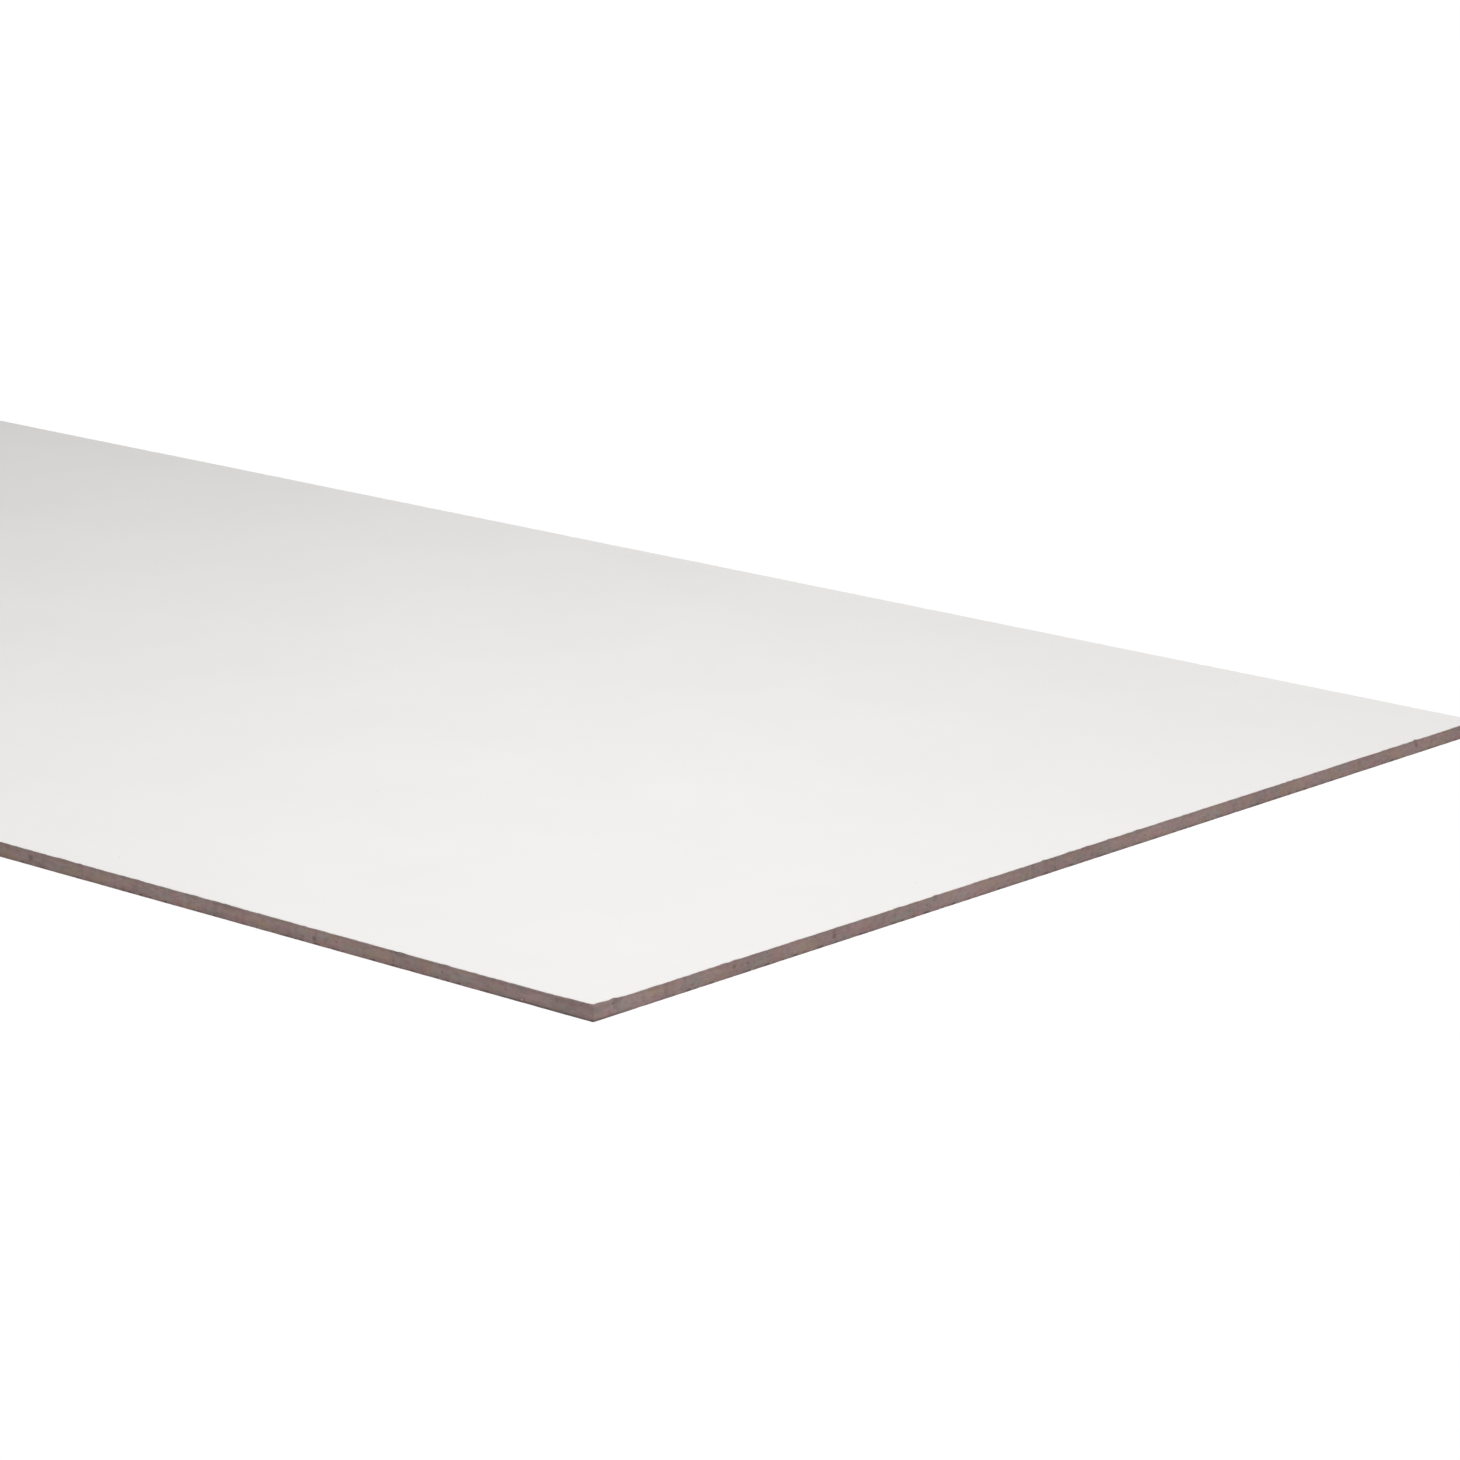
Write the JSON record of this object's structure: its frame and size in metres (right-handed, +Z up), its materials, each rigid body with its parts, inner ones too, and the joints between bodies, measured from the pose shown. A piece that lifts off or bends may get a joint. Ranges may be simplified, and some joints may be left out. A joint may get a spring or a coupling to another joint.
{
  "type": "hardboard panel",
  "caption": "Thin flat rectangular hardboard sheet with a white lacquered face, a bare brown back and square sawn edges, for lining, backing and covering.",
  "frame": {"origin": "middle of the panel's bare back, which lies on the floor", "axes": "+X along the panel's length, +Y along its width, +Z up through its thickness, out of the white face"},
  "size_m": [0.6096, 0.3048, 0.0032],
  "materials": {
    "white_faced_hardboard": "satin white lacquer on the upper face; bare dark brown hardboard on the sawn edges and the back"
  },
  "bodies": {
    "root": {"hardboard_panel": "white_faced_hardboard"}
  },
  "joints": []
}
